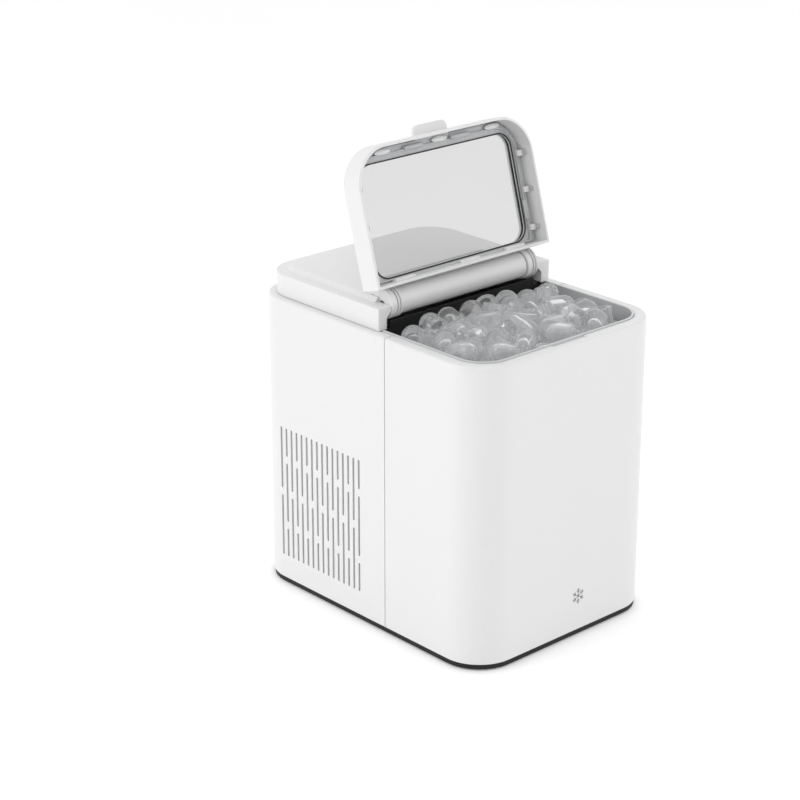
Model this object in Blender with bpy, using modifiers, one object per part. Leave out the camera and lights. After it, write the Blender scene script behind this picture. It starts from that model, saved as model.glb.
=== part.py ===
"""Countertop ice maker with a window lid that stands open.

Frame: +X to the right as seen from the front, +Y to the back, +Z up, in metres. The origin is
the middle of the footprint, on the surface that the feet stand on.
"""
import math

import bmesh
import bpy
from mathutils import Matrix, Vector

# ---- driving dimensions -------------------------------------------------------------------
WIDTH = 0.222            # casing, side to side
DEPTH = 0.296            # casing, front to back
RIM_Z = 0.278            # top of the casing's rim
CORNER_R = 0.038         # casing's four upright corners
WALL = 0.0025            # casing and lid moulding
SEAM_Y = -0.0305         # joint between the front and the rear shell
RIM_BAND = 0.0105        # width of the rim's flat band
GAP = 0.0003             # between touching pieces
SEAM_GAP = 0.0007        # the seam that shows between the two shells

FOOT_R = 0.009
FOOT_INSET = 0.024       # foot centre from the casing's sides
BASE_Z = 0.0015          # underside of the base tray
BASE_BAND = 0.0043       # height of the dark band under the casing
BASE_REVEAL = 0.0006     # how far the band stands back from the casing

COVER_INSET = 0.0075     # top cover and lid from the casing's sides
COVER_H = 0.020          # ledge of cover and lid above the rim
PAD_H = 0.004            # raised field above the ledge
PAD_INSET = 0.0095       # ledge width around the raised field
HINGE_Y = -0.003
HINGE_UP = 0.0185        # hinge axis above the rim
NOSE_R = 0.012           # rolled nose of the cover
KNUCKLE_R = NOSE_R + 0.0015
KNUCKLE_W = 0.013
KNUCKLE_X = WIDTH / 2 - 0.0225         # outer face of each knuckle
SHAFT_R = 0.003
SHAFT_PLAY = 0.0004
SHAFT_SET = 0.0008       # shaft's ends inside the knuckles' outer faces
CHEEK_REACH = NOSE_R     # cover's cheeks in front of the hinge axis
CHEEK_FOOT = 0.0095      # width of each cheek below its chamfered underside
CHEEK_TOP = 0.0045       # thickness of the cheek at its inner edge

LID_BACK = NOSE_R + 0.0020             # lid's rear edge in front of the hinge axis
LID_FRONT_INSET = 0.0115 # closed lid's front edge behind the casing's front
LID_CORNER_R = 0.036
LID_CHAMFER = 0.0025     # along the top edge of the lid
LID_REST_GAP = 0.0012    # closed lid above the rim
LID_OPEN = 106.0         # degrees from closed to its stop
WINDOW_SIDE = 0.0130     # lid's edge to the clear opening, at the sides
WINDOW_FRONT = 0.0150    # the same at the front edge
WINDOW_BACK = 0.0060     # the same at the rear edge
WINDOW_R = 0.014
TAB_W = 0.040
TAB_REACH = 0.0085

LINER_WALL = 0.002
LINER_LIP = 0.0009       # liner's edge above the rim
BIN_FLOOR = 0.070
BIN_BACK = -0.010        # rear wall of the deep part of the bin
SHELF_FLOOR = RIM_Z - 0.106            # floor under the ice mechanism
SHELF_BACK = 0.068
BASKET_WALL = 0.002
BASKET_GAP = 0.006       # basket to liner
BASKET_CLEAR = 0.002     # basket in front of the hinge as it lifts out
BASKET_FLOOR = 0.100
BASKET_RIM = RIM_Z - 0.012
FOAM = 0.0055            # insulation around the bin

SLOT_W = 0.0024
SLOT_PITCH = 0.00706
SLOT_COLUMNS = 16
GRILLE_Y0 = 0.0035       # middle of the first column
GRILLE_Z0 = 0.0290
GRILLE_H = 0.1275
SLOT_BRIDGE = 0.0068
SLOT_END = 0.0280        # short slot of the odd columns

PIVOT_Y = 0.034          # water tray's axis
PIVOT_Z = RIM_Z - 0.042
TRAY_R = 0.0275          # inside radius of the tray
TRAY_X = 0.076
FINGER_R = 0.0045
FINGER_TIP = 0.017       # tips below the tray's axis

HALF_W = WIDTH / 2
HALF_D = DEPTH / 2
WALL_Z = BASE_Z + BASE_BAND + GAP      # lower edge of the white casing
HINGE_Z = RIM_Z + HINGE_UP
LEDGE_Z = RIM_Z + COVER_H
PAD_Z = LEDGE_Z + PAD_H
LID_HALF = HALF_W - COVER_INSET
LID_REACH = HALF_D - LID_FRONT_INSET + HINGE_Y   # hinge axis to the lid's front edge
LINER_HALF = HALF_W - RIM_BAND - GAP   # liner's outside, just inside the rim band
LINER_FRONT = -(HALF_D - RIM_BAND - GAP)
LINER_R = CORNER_R - RIM_BAND - GAP

WHITE = ("white_abs", (0.86, 0.86, 0.86), 0.38, 0.0)
BLACK = ("black_plastic", (0.02, 0.02, 0.021), 0.5, 0.0)
GREY = ("light_grey_plastic", (0.62, 0.63, 0.64), 0.45, 0.0)
RUBBER = ("grey_rubber", (0.06, 0.06, 0.06), 0.85, 0.0)
CLEAR = ("clear_plastic", (0.92, 0.94, 0.95), 0.06, 0.0)
STEEL = ("steel", (0.55, 0.56, 0.57), 0.32, 1.0)
COPPER = ("copper", (0.72, 0.38, 0.24), 0.30, 1.0)
ALUMINIUM = ("aluminium", (0.75, 0.76, 0.77), 0.35, 1.0)
FOAM_MAT = ("white_foam", (0.88, 0.88, 0.86), 0.9, 0.0)
ENAMEL = ("black_enamel", (0.015, 0.015, 0.016), 0.3, 0.0)
BOARD = ("green_board", (0.03, 0.20, 0.09), 0.5, 0.0)
SILICONE = ("silicone", (0.80, 0.82, 0.82), 0.4, 0.0)

# ---- scene ----------------------------------------------------------------------------------
for old in list(bpy.data.objects):
    bpy.data.objects.remove(old, do_unlink=True)
PARTS = bpy.data.collections.new("ice_maker")
CUTTERS = bpy.data.collections.new("cutters")
bpy.context.scene.collection.children.link(PARTS)
bpy.context.scene.collection.children.link(CUTTERS)


def finish_of(entry):
    """The material of that name, made once."""
    name, colour, roughness, metallic = entry
    material = bpy.data.materials.get(name)
    if material is None:
        material = bpy.data.materials.new(name)
        material.use_nodes = True
        shader = material.node_tree.nodes["Principled BSDF"]
        shader.inputs["Base Color"].default_value = (*colour, 1)
        shader.inputs["Roughness"].default_value = roughness
        shader.inputs["Metallic"].default_value = metallic
    return material


def add(name, bm, finish=None, parent=None):
    """An object from a bmesh: a part if it has a finish, otherwise a cutter."""
    bmesh.ops.recalc_face_normals(bm, faces=bm.faces)
    mesh = bpy.data.meshes.new(name)
    bm.to_mesh(mesh)
    bm.free()
    piece = bpy.data.objects.new(name, mesh)
    if finish:
        PARTS.objects.link(piece)
        mesh.materials.append(finish_of(finish))
    else:
        CUTTERS.objects.link(piece)
        piece.hide_render = True
        piece.display_type = "WIRE"
    if parent:
        piece.parent = parent
    return piece


def axis_empty(name, place, turn=0.0):
    """An empty on a joint's axis, turned about X by turn degrees."""
    empty = bpy.data.objects.new(name, None)
    empty.location = place
    empty.rotation_euler = (math.radians(turn), 0, 0)
    empty.empty_display_size = 0.01
    PARTS.objects.link(empty)
    return empty


def outline(x0, x1, y0, y1, radii, steps=8):
    """Points of a rectangle with rounded corners: (x0,y0), (x1,y0), (x1,y1), (x0,y1) radii."""
    points = []
    corners = [(x0, y0, 1, 1), (x1, y0, -1, 1), (x1, y1, -1, -1), (x0, y1, 1, -1)]
    for number, ((x, y, sx, sy), r) in enumerate(zip(corners, radii)):
        if r <= 0:
            points.append((x, y))
            continue
        start = math.pi + number * math.pi / 2
        for i in range(steps + 1):
            a = start + i * math.pi / 2 / steps
            points.append((x + sx * r + r * math.cos(a), y + sy * r + r * math.sin(a)))
    return points


def prism(points, z0, z1, top=None):
    """A bmesh prism over an outline; top may give other points for its upper end."""
    bm = bmesh.new()
    low = [bm.verts.new((x, y, z0)) for x, y in points]
    high = [bm.verts.new((x, y, z1)) for x, y in (top or points)]
    bm.faces.new(low[::-1])
    bm.faces.new(high)
    for i in range(len(points)):
        j = (i + 1) % len(points)
        bm.faces.new((low[i], low[j], high[j], high[i]))
    return bm


def block(x0, x1, y0, y1, z0, z1):
    """A bmesh box between two corners."""
    bm = bmesh.new()
    size = Matrix.Diagonal((x1 - x0, y1 - y0, z1 - z0, 1))
    place = Matrix.Translation(((x0 + x1) / 2, (y0 + y1) / 2, (z0 + z1) / 2))
    bmesh.ops.create_cube(bm, size=1, matrix=place @ size)
    return bm


def rod(radius, start, end, sides=20, end_radius=None):
    """A bmesh cylinder or cone from one point to another."""
    bm = bmesh.new()
    a, b = Vector(start), Vector(end)
    turn = (b - a).to_track_quat("Z", "Y").to_matrix().to_4x4()
    bmesh.ops.create_cone(
        bm, cap_ends=True, segments=sides, radius1=radius,
        radius2=radius if end_radius is None else end_radius,
        depth=(b - a).length, matrix=Matrix.Translation((a + b) / 2) @ turn)
    return bm


def side_profile(points, x0, x1):
    """A bmesh prism along X over an outline of (y, z) points."""
    bm = prism([(y, z) for y, z in points], x0, x1)
    for v in bm.verts:
        v.co = Vector((v.co.z, v.co.x, v.co.y))
    return bm


def front_profile(points, y0, y1):
    """A bmesh prism along Y over an outline of (x, z) points."""
    bm = prism(points, y0, y1)
    for v in bm.verts:
        v.co = Vector((v.co.x, v.co.z, v.co.y))
    return bm


def combine(piece, other, operation):
    """Adds a Boolean modifier; the other object is a cutter."""
    modifier = piece.modifiers.new(other.name, "BOOLEAN")
    modifier.operation = operation
    modifier.solver = "EXACT"
    modifier.object = other
    if piece.parent and other.parent is None:
        other.parent = piece.parent
    return piece


def cut(piece, name, bm):
    return combine(piece, add(piece.name + "_" + name, bm), "DIFFERENCE")


def join(piece, name, bm):
    return combine(piece, add(piece.name + "_" + name, bm), "UNION")


def merge(*meshes):
    """One bmesh that holds several closed shapes which don't touch."""
    whole = meshes[0]
    for extra in meshes[1:]:
        mesh = bpy.data.meshes.new("shapes")
        extra.to_mesh(mesh)
        extra.free()
        whole.from_mesh(mesh)
        bpy.data.meshes.remove(mesh)
    return whole


def turned(name, profile, finish, place=(0, 0, 0), along="Z", sides=32, parent=None):
    """A solid of revolution: profile is (radius, height), from the top end down its outside."""
    mesh = bpy.data.meshes.new(name)
    count = len(profile)
    mesh.from_pydata([(r, 0, h) for r, h in profile], [(i, i + 1) for i in range(count - 1)], [])
    piece = bpy.data.objects.new(name, mesh)
    PARTS.objects.link(piece)
    mesh.materials.append(finish_of(finish))
    screw = piece.modifiers.new("turn", "SCREW")
    screw.steps = screw.render_steps = sides
    screw.use_merge_vertices = True
    screw.merge_threshold = 0.00001
    piece.location = place
    if along == "X":
        piece.rotation_euler = (0, math.pi / 2, 0)
    if along == "Y":
        piece.rotation_euler = (-math.pi / 2, 0, 0)
    if parent:
        piece.parent = parent
    return piece


def wire(name, points, radius, finish, sides=2):
    """A round tube along straight runs with rounded bends."""
    curve = bpy.data.curves.new(name, "CURVE")
    curve.dimensions = "3D"
    curve.bevel_depth = radius
    curve.bevel_resolution = sides
    curve.use_fill_caps = True
    spline = curve.splines.new("POLY")
    path = rounded(points, radius * 2.5)
    spline.points.add(len(path) - 1)
    for point, place in zip(spline.points, path):
        point.co = (*place, 1)
    piece = bpy.data.objects.new(name, curve)
    PARTS.objects.link(piece)
    curve.materials.append(finish_of(finish))
    return piece


def rounded(points, radius, steps=4):
    """A path with each inner corner turned into a short curve."""
    corners = [Vector(p) for p in points]
    path = [corners[0]]
    for before, corner, after in zip(corners, corners[1:], corners[2:]):
        reach = min(radius, (before - corner).length / 2.2, (after - corner).length / 2.2)
        start = corner + (before - corner).normalized() * reach
        end = corner + (after - corner).normalized() * reach
        for i in range(steps + 1):
            t = i / steps
            path.append(start.lerp(corner, t).lerp(corner.lerp(end, t), t))
    return path + [corners[-1]]


def casing_outline(inset=0.0, steps=8):
    """The casing's plan outline, moved in by inset."""
    r = CORNER_R - inset
    x, y = HALF_W - inset, HALF_D - inset
    return outline(-x, x, -y, y, (r, r, r, r), steps)


# ---- base -------------------------------------------------------------------------------------
def make_base():
    """The dark tray that everything stands on, with an upstand inside the casing, and its feet."""
    tray = add("base_tray", prism(casing_outline(BASE_REVEAL), BASE_Z, BASE_Z + BASE_BAND), BLACK)
    inset = WALL + GAP
    upstand_z = BASE_Z + BASE_BAND + 0.010
    join(tray, "upstand", prism(casing_outline(inset), BASE_Z + 0.001, upstand_z))
    cut(tray, "inside", prism(casing_outline(inset + 0.002), BASE_Z + 0.0025, upstand_z + 0.01))
    for side, sx in (("left", -1), ("right", 1)):
        for end, sy in (("front", -1), ("rear", 1)):
            x, y = sx * (HALF_W - FOOT_INSET), sy * (HALF_D - FOOT_INSET)
            join(tray, f"seat_{end}_{side}",
                 rod(FOOT_R + 0.002, (x, y, BASE_Z + 0.001), (x, y, BASE_Z + 0.005)))
            recess_z = BASE_Z + 0.002
            cut(tray, f"recess_{end}_{side}",
                rod(FOOT_R + GAP, (x, y, BASE_Z - 0.01), (x, y, recess_z)))
            foot = [(0, recess_z - GAP), (FOOT_R, recess_z - GAP), (FOOT_R, 0.0006),
                    (FOOT_R - 0.0006, 0), (0, 0)]
            turned(f"foot_{end}_{side}", foot, RUBBER, (x, y, 0), sides=20)
    return tray


# ---- casing -----------------------------------------------------------------------------------
def shell_walls(name, y0, y1):
    """One casing shell: the outer skin with its rim band, kept between two values of y."""
    shell = add(name, prism(casing_outline(), WALL_Z, RIM_Z), WHITE)
    cut(shell, "inside", prism(casing_outline(WALL), WALL_Z - 0.01, RIM_Z - WALL))
    cut(shell, "mouth", prism(casing_outline(RIM_BAND), RIM_Z - 0.02, RIM_Z + 0.01))
    cut(shell, "rest", block(-WIDTH, WIDTH, y0, y1, -0.05, RIM_Z + 0.05))
    return shell


def grille_slots(x0, x1):
    """The slots of one grille: odd columns have three, even columns two."""
    slots = []
    z_top = GRILLE_Z0 + GRILLE_H
    for column in range(SLOT_COLUMNS):
        y = GRILLE_Y0 + column * SLOT_PITCH
        if column % 2:
            middle = (GRILLE_Z0 + z_top) / 2
            spans = [(GRILLE_Z0, middle - SLOT_BRIDGE / 2), (middle + SLOT_BRIDGE / 2, z_top)]
        else:
            low, high = GRILLE_Z0 + SLOT_END, z_top - SLOT_END
            spans = [(GRILLE_Z0, low), (low + SLOT_BRIDGE, high - SLOT_BRIDGE), (high, z_top)]
        for z0, z1 in spans:
            slots.append(block(x0, x1, y - SLOT_W / 2, y + SLOT_W / 2, z0, z1))
    return merge(*slots)


INLET_X, INLET_Z = -0.062, 0.040
INLET_W, INLET_H = 0.0275, 0.0200
DRAIN_X, DRAIN_Z = -0.004, 0.030
DRAIN_R = 0.0085
DRAIN_PORT = (DRAIN_X, -0.030)         # holes in the bin's floor
PUMP_PORT = (0.050, -0.040)
PORT_R = 0.004
RIB_X = 0.055
SCREW_X, SCREW_Z = 0.064, 0.0115
SCREW_HEAD_R, SCREW_HEAD_H, SCREW_R = 0.0035, 0.0010, 0.0014


def make_shells():
    """The two casing shells that meet at the seam."""
    front = shell_walls("front_shell", SEAM_Y - SEAM_GAP / 2, DEPTH)
    notch = block(-TAB_W / 2 - 0.0015, TAB_W / 2 + 0.0015, -HALF_D + 0.0045, -HALF_D + 0.02,
                  RIM_Z - 0.0012, RIM_Z + 0.01)
    cut(front, "tab_notch", notch)
    rear = shell_walls("rear_shell", -DEPTH, SEAM_Y + SEAM_GAP / 2)
    cut(rear, "slots_left", grille_slots(-HALF_W - 0.01, -HALF_W + WALL + 0.002))
    cut(rear, "slots_right", grille_slots(HALF_W - WALL - 0.002, HALF_W + 0.01))
    cut(rear, "inlet_hole", block(INLET_X - INLET_W / 2 - GAP, INLET_X + INLET_W / 2 + GAP,
                                  HALF_D - 0.01, HALF_D + 0.01,
                                  INLET_Z - INLET_H / 2 - GAP, INLET_Z + INLET_H / 2 + GAP))
    cut(rear, "drain_hole", rod(DRAIN_R + GAP, (DRAIN_X, HALF_D - 0.01, DRAIN_Z),
                                (DRAIN_X, HALF_D + 0.01, DRAIN_Z)))
    for side, x in (("left", -SCREW_X), ("right", SCREW_X)):
        cut(rear, f"screw_sink_{side}",
            rod(SCREW_HEAD_R + GAP, (x, HALF_D - SCREW_HEAD_H - GAP, SCREW_Z),
                (x, HALF_D + 0.01, SCREW_Z)))
        cut(rear, f"screw_hole_{side}",
            rod(SCREW_R + GAP, (x, HALF_D - 0.01, SCREW_Z), (x, HALF_D + 0.01, SCREW_Z), 12))
        head = HALF_D - 0.0001
        length = WALL + GAP + 0.006
        profile = [(0, 0), (SCREW_HEAD_R, 0), (SCREW_HEAD_R, -SCREW_HEAD_H),
                   (SCREW_R, -SCREW_HEAD_H), (SCREW_R, -length), (0, -length)]
        turned(f"back_screw_{side}", profile, STEEL, (x, head, SCREW_Z), "Y", 16)
    return front, rear


def drill_base(tray):
    """Holes in the base tray's upstand for the back screws."""
    for side, x in (("left", -SCREW_X), ("right", SCREW_X)):
        cut(tray, f"screw_{side}", rod(SCREW_R + GAP, (x, HALF_D - 0.03, SCREW_Z),
                                       (x, HALF_D + 0.01, SCREW_Z), 12))


# ---- bin --------------------------------------------------------------------------------------
def stepped(inset, z_low, z_step, z_top):
    """Bin-shaped block: deep in front, shallow behind. Inset moves every side in."""
    x, r = LINER_HALF - inset, max(LINER_R - inset, 0.001)
    y0, y1 = LINER_FRONT + inset, SHELF_BACK + LINER_WALL - inset
    step = BIN_BACK + LINER_WALL - inset
    deep = prism(outline(-x, x, y0, step, (r, r, 0, 0)), z_low, z_top)
    shelf = prism(outline(-x, x, y0 + 0.01, y1, (r, r, 0, 0)), z_step, z_top)
    return deep, shelf


def make_bin():
    """The liner with its lip, its ribs for the basket, and the insulation around it."""
    lip_z = RIM_Z + LINER_LIP
    deep, shelf = stepped(0, BIN_FLOOR - LINER_WALL, SHELF_FLOOR - LINER_WALL, lip_z)
    liner = add("bin_liner", deep, GREY)
    join(liner, "shelf", shelf)
    flange_top = RIM_Z - WALL - GAP
    x, y0 = LINER_HALF + 0.005, LINER_FRONT - 0.005
    r = LINER_R + 0.005
    join(liner, "flange", prism(outline(-x, x, y0, SHELF_BACK + 0.007, (r, r, 0, 0)),
                                flange_top - LINER_WALL, flange_top))
    deep, shelf = stepped(LINER_WALL, BIN_FLOOR, SHELF_FLOOR, lip_z + 0.01)
    cut(liner, "bin", deep)
    cut(liner, "shelf_space", shelf)
    under_cover = COVER_GRIP_Y - 0.001
    cut(liner, "rear_lip", block(-WIDTH, WIDTH, under_cover, DEPTH, flange_top, RIM_Z + 0.02))
    for side, sx in (("left", -1), ("right", 1)):
        x = sx * RIB_X
        join(liner, f"rib_{side}", block(x - 0.002, x + 0.002, LINER_FRONT + 0.001, BIN_BACK + 0.001,
                                         BIN_FLOOR - 0.001, BASKET_FLOOR - GAP))
    for number, (x, y) in enumerate((DRAIN_PORT, PUMP_PORT)):
        cut(liner, f"port_{number}", rod(PORT_R, (x, y, BIN_FLOOR - 0.02), (x, y, BIN_FLOOR + 0.02)))
    foam_top = flange_top - LINER_WALL - GAP
    deep, _ = stepped(-FOAM, BIN_FLOOR - LINER_WALL - 0.012, SHELF_FLOOR, foam_top)
    foam = add("bin_insulation", deep, FOAM_MAT)
    deep, shelf = stepped(-GAP, BIN_FLOOR - LINER_WALL - GAP, SHELF_FLOOR - LINER_WALL - GAP,
                          foam_top + 0.01)
    cut(foam, "bin", deep)
    cut(foam, "shelf_space", shelf)
    for number, (x, y) in enumerate((DRAIN_PORT, PUMP_PORT)):
        cut(foam, f"port_{number}",
            rod(PORT_R + 0.0035, (x, y, BIN_FLOOR - 0.03), (x, y, BIN_FLOOR + 0.01)))
    return liner


def make_basket():
    """The lift-out ice basket, with drain slots in its floor and sides."""
    empty = axis_empty("basket_axis", (0, (LINER_FRONT + BIN_BACK) / 2, BASKET_FLOOR))
    inset = LINER_WALL + BASKET_GAP
    x, r = LINER_HALF - inset, LINER_R - inset
    y0, y1 = LINER_FRONT + inset, HINGE_Y - KNUCKLE_R - BASKET_CLEAR
    origin = empty.location
    basket = add("ice_basket", prism(outline(-x, x, y0, y1, (r, r, 0.006, 0.006), 6),
                                     BASKET_FLOOR, BASKET_RIM), GREY)
    w = BASKET_WALL
    cut(basket, "inside", prism(outline(-x + w, x - w, y0 + w, y1 - w, (r - w, r - w, 0.004, 0.004), 6),
                                BASKET_FLOOR + w, BASKET_RIM + 0.01))
    slots = [block(i * 0.018 - 0.002, i * 0.018 + 0.002, y0 + 0.02, y1 - 0.015,
                   BASKET_FLOOR - 0.01, BASKET_FLOOR + 0.01) for i in range(-4, 5)]
    cut(basket, "floor_slots", merge(*slots))
    sides = [block(-WIDTH, WIDTH, y, y + 0.004, BASKET_FLOOR + 0.02, BASKET_FLOOR + 0.075)
             for y in (y0 + 0.040, y0 + 0.056, y0 + 0.072, y0 + 0.088)]
    cut(basket, "side_slots", merge(*sides))
    for piece in [basket] + [m.object for m in basket.modifiers]:
        piece.data.transform(Matrix.Translation(-origin))
        piece.parent = empty
    return basket


# ---- rear cover, hinge and controls -------------------------------------------------------------
COVER_GRIP_Y = HINGE_Y - CHEEK_REACH          # front face of the cheeks
PANEL_Y0 = HINGE_Y + NOSE_R + 0.0060
PANEL_Y1 = PANEL_Y0 + 0.024
PANEL_HALF = 0.070
PANEL_T = 0.0016
BUTTON_R = 0.0055
BUTTON_TRAVEL = 0.0010
BUTTONS = {"power_button": -0.045, "select_button": 0.045}


def make_cover():
    """The rear top cover: a hollow box with a raised field, two cheeks and the rolled nose."""
    x = LID_HALF
    y1 = HALF_D - COVER_INSET
    r = CORNER_R - COVER_INSET
    z0 = RIM_Z + GAP
    front = HINGE_Y + 0.002
    cover = add("rear_cover", prism(outline(-x, x, front, y1, (0, 0, r, r)), z0, LEDGE_Z), WHITE)
    low, high = [], []
    for spread, points in ((PAD_INSET, low), (PAD_INSET + PAD_H, high)):
        points += outline(-x + spread, x - spread, HINGE_Y + 0.004, y1 - spread,
                          (0, 0, r - spread, r - spread))
    join(cover, "raised_field", prism(low, LEDGE_Z - 0.001, PAD_Z, high))
    # the hollow inside, one wall thinner all round
    xi, yi, ri = x - WALL, y1 - WALL, r - WALL
    cut(cover, "hollow", prism(outline(-xi, xi, HINGE_Y + NOSE_R + 0.001, yi, (0, 0, ri, ri)),
                               z0 - 0.01, LEDGE_Z - WALL))
    inner_field = PAD_INSET + PAD_H + WALL
    cut(cover, "hollow_field",
        prism(outline(-x + inner_field, x - inner_field, HINGE_Y + NOSE_R + 0.001, y1 - inner_field,
                      (0, 0, max(r - inner_field, 0.004), max(r - inner_field, 0.004))),
              LEDGE_Z - WALL - 0.005, PAD_Z - WALL))
    # the opening under the nose, open to the front between the cheeks
    cheek_in = KNUCKLE_X + GAP
    cut(cover, "front_bay", block(-cheek_in, cheek_in, HINGE_Y - 0.03, HINGE_Y + KNUCKLE_R + 0.0007,
                                  z0 - 0.01, PAD_Z + 0.01))
    # cheeks: wide at the ledge, then chamfered in to a narrower foot
    foot, inner = x - CHEEK_FOOT, KNUCKLE_X + GAP
    chamfer_z = LEDGE_Z - CHEEK_TOP
    for side, sx in (("left", -1), ("right", 1)):
        profile = [(sx * x, z0), (sx * foot, z0), (sx * foot, chamfer_z - (foot - inner)),
                   (sx * inner, chamfer_z), (sx * inner, LEDGE_Z), (sx * x, LEDGE_Z)]
        join(cover, f"cheek_{side}", front_profile(profile, COVER_GRIP_Y, front + 0.004))
    # nose: a roll between the knuckles, tied to the raised field behind it
    nose_x = KNUCKLE_X - KNUCKLE_W - 2 * GAP
    join(cover, "nose", rod(NOSE_R, (-nose_x, HINGE_Y, HINGE_Z), (nose_x, HINGE_Y, HINGE_Z), 40))
    join(cover, "nose_web", block(-nose_x, nose_x, HINGE_Y + NOSE_R - 0.006, HINGE_Y + NOSE_R + 0.003,
                                  HINGE_Z - 0.0035, PAD_Z - 0.0002))
    shaft_x = KNUCKLE_X - SHAFT_SET
    cut(cover, "shaft_hole", rod(SHAFT_R + GAP, (-shaft_x, HINGE_Y, HINGE_Z),
                                 (shaft_x, HINGE_Y, HINGE_Z), 20))
    cut(cover, "panel_seat", block(-PANEL_HALF - GAP, PANEL_HALF + GAP, PANEL_Y0 - GAP, PANEL_Y1 + GAP,
                                   PAD_Z - PANEL_T - GAP, PAD_Z + 0.01))
    seat_y = (PANEL_Y0 + PANEL_Y1) / 2
    for name, bx in BUTTONS.items():
        cut(cover, name + "_hole", rod(BUTTON_R - 0.0012, (bx, seat_y, PAD_Z - 0.02), (bx, seat_y, PAD_Z)))
    add("hinge_shaft", rod(SHAFT_R, (-shaft_x, HINGE_Y, HINGE_Z), (shaft_x, HINGE_Y, HINGE_Z), 20), STEEL)
    return cover


def make_controls():
    """Control panel set into the raised field, its two buttons, and the board beneath."""
    y = (PANEL_Y0 + PANEL_Y1) / 2
    panel = add("control_panel", block(-PANEL_HALF, PANEL_HALF, PANEL_Y0, PANEL_Y1,
                                       PAD_Z - PANEL_T, PAD_Z - 0.0001), GREY)
    stem_r = BUTTON_R - 0.0020
    for name, x in BUTTONS.items():
        cut(panel, name, rod(BUTTON_R + GAP, (x, y, PAD_Z - 0.01), (x, y, PAD_Z + 0.01)))
        top = BUTTON_TRAVEL + 0.0009
        seat = -PANEL_T + BUTTON_TRAVEL + GAP
        profile = [(0, top), (BUTTON_R - 0.0006, top), (BUTTON_R, top - 0.0006), (BUTTON_R, seat),
                   (stem_r, seat), (stem_r, -WALL - 0.0035), (0, -WALL - 0.0035)]
        turned(name, profile, GREY, (x, y, PAD_Z), sides=24)
    z = PAD_Z - WALL - 0.0035 - BUTTON_TRAVEL - 0.0025
    board = add("control_board", block(-PANEL_HALF + 0.006, PANEL_HALF - 0.006, y - 0.009, y + 0.009,
                                       z - 0.0016, z), BOARD)
    for name, x in BUTTONS.items():
        join(board, name + "_switch", rod(0.0025, (x, y, z - 0.001), (x, y, z + 0.0022), 12))


# ---- lid --------------------------------------------------------------------------------------
def make_lid():
    """The lid, drawn closed around its hinge axis and turned open: frame, window, seal, trim."""
    axis = axis_empty("lid_axis", (0, HINGE_Y, HINGE_Z), -LID_OPEN)
    x, back, reach = LID_HALF, -LID_BACK, -LID_REACH
    z_low = RIM_Z + LID_REST_GAP - HINGE_Z
    top = PAD_Z - HINGE_Z
    shoulder = top - LID_CHAMFER
    r = LID_CORNER_R
    frame = add("lid_frame", prism(outline(-x, x, reach, back, (r, r, 0, 0), 10), z_low, shoulder),
                WHITE, axis)
    c = LID_CHAMFER
    low = outline(-x, x, reach, back, (r, r, 0, 0), 10)
    high = outline(-x + c, x - c, reach + c, back, (r - c, r - c, 0, 0), 10)
    join(frame, "top_plate", prism(low, shoulder - 0.0005, top, high))
    w = WALL
    cut(frame, "hollow", prism(outline(-x + w, x - w, reach + w, back - w, (r - w, r - w, 0, 0), 10),
                               z_low - 0.01, top - w))
    cut(frame, "opening", window_prism(0.0, top - 0.03, top + 0.01))
    for side, sx in (("left", -1), ("right", 1)):
        outer, inner = KNUCKLE_X, KNUCKLE_X - KNUCKLE_W
        join(frame, f"knuckle_{side}", knuckle(sx, inner, outer))
        arm = block(*sorted((sx * (inner + 0.0004), sx * (outer - 0.0004))), back - 0.001,
                    -KNUCKLE_R * 0.45, -0.0045, 0.0035)
        join(frame, f"arm_{side}", arm)
    cut(frame, "shaft_bore", rod(SHAFT_R + SHAFT_PLAY, (-x, 0, 0), (x, 0, 0), 20))
    tab = prism(outline(-TAB_W / 2, TAB_W / 2, reach - TAB_REACH, reach + 0.001,
                        (0.006, 0.006, 0, 0), 5), top - 0.0075, top - 0.0045)
    join(frame, "tab", tab)
    make_window(axis, top - WALL)
    return frame


def window_outline(grow, steps=6):
    """The lid's clear opening in plan, grown by a margin."""
    x = LID_HALF - WINDOW_SIDE + grow
    y0 = -LID_REACH + WINDOW_FRONT - grow
    y1 = -LID_BACK - WINDOW_BACK + grow
    r = WINDOW_R + grow
    return outline(-x, x, y0, y1, (r, r, r, r), steps)


def window_prism(grow, z0, z1):
    return prism(window_outline(grow), z0, z1)


def knuckle(sx, inner, outer):
    """A grooved hinge knuckle: a broad rib towards the machine's left and two narrow ones."""
    groove, deep = 0.0014, 0.0022
    left, right = sorted((sx * inner, sx * outer))
    stations = [(left, 0), (left + 0.0062, 0), (left + 0.0062, 1), (left + 0.0062 + groove, 1),
                (left + 0.0062 + groove, 0), (left + 0.0096, 0), (left + 0.0096, 1),
                (left + 0.0096 + groove, 1), (left + 0.0096 + groove, 0), (right, 0)]
    sides = 36
    bm = bmesh.new()
    rings = []
    for x, sunk in stations:
        radius = KNUCKLE_R - sunk * deep
        rings.append([bm.verts.new((x, radius * math.cos(a), radius * math.sin(a)))
                      for a in (i * 2 * math.pi / sides for i in range(sides))])
    for one, two in zip(rings, rings[1:]):
        for i in range(sides):
            j = (i + 1) % sides
            bm.faces.new((one[i], one[j], two[j], two[i]))
    bm.faces.new(rings[0])
    bm.faces.new(rings[-1])
    return bm


PANE_T = 0.0020
PANE_LAP = 0.0045        # pane beyond the clear opening
TRIM_T = 0.0015
SEAL_T = 0.0008


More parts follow.
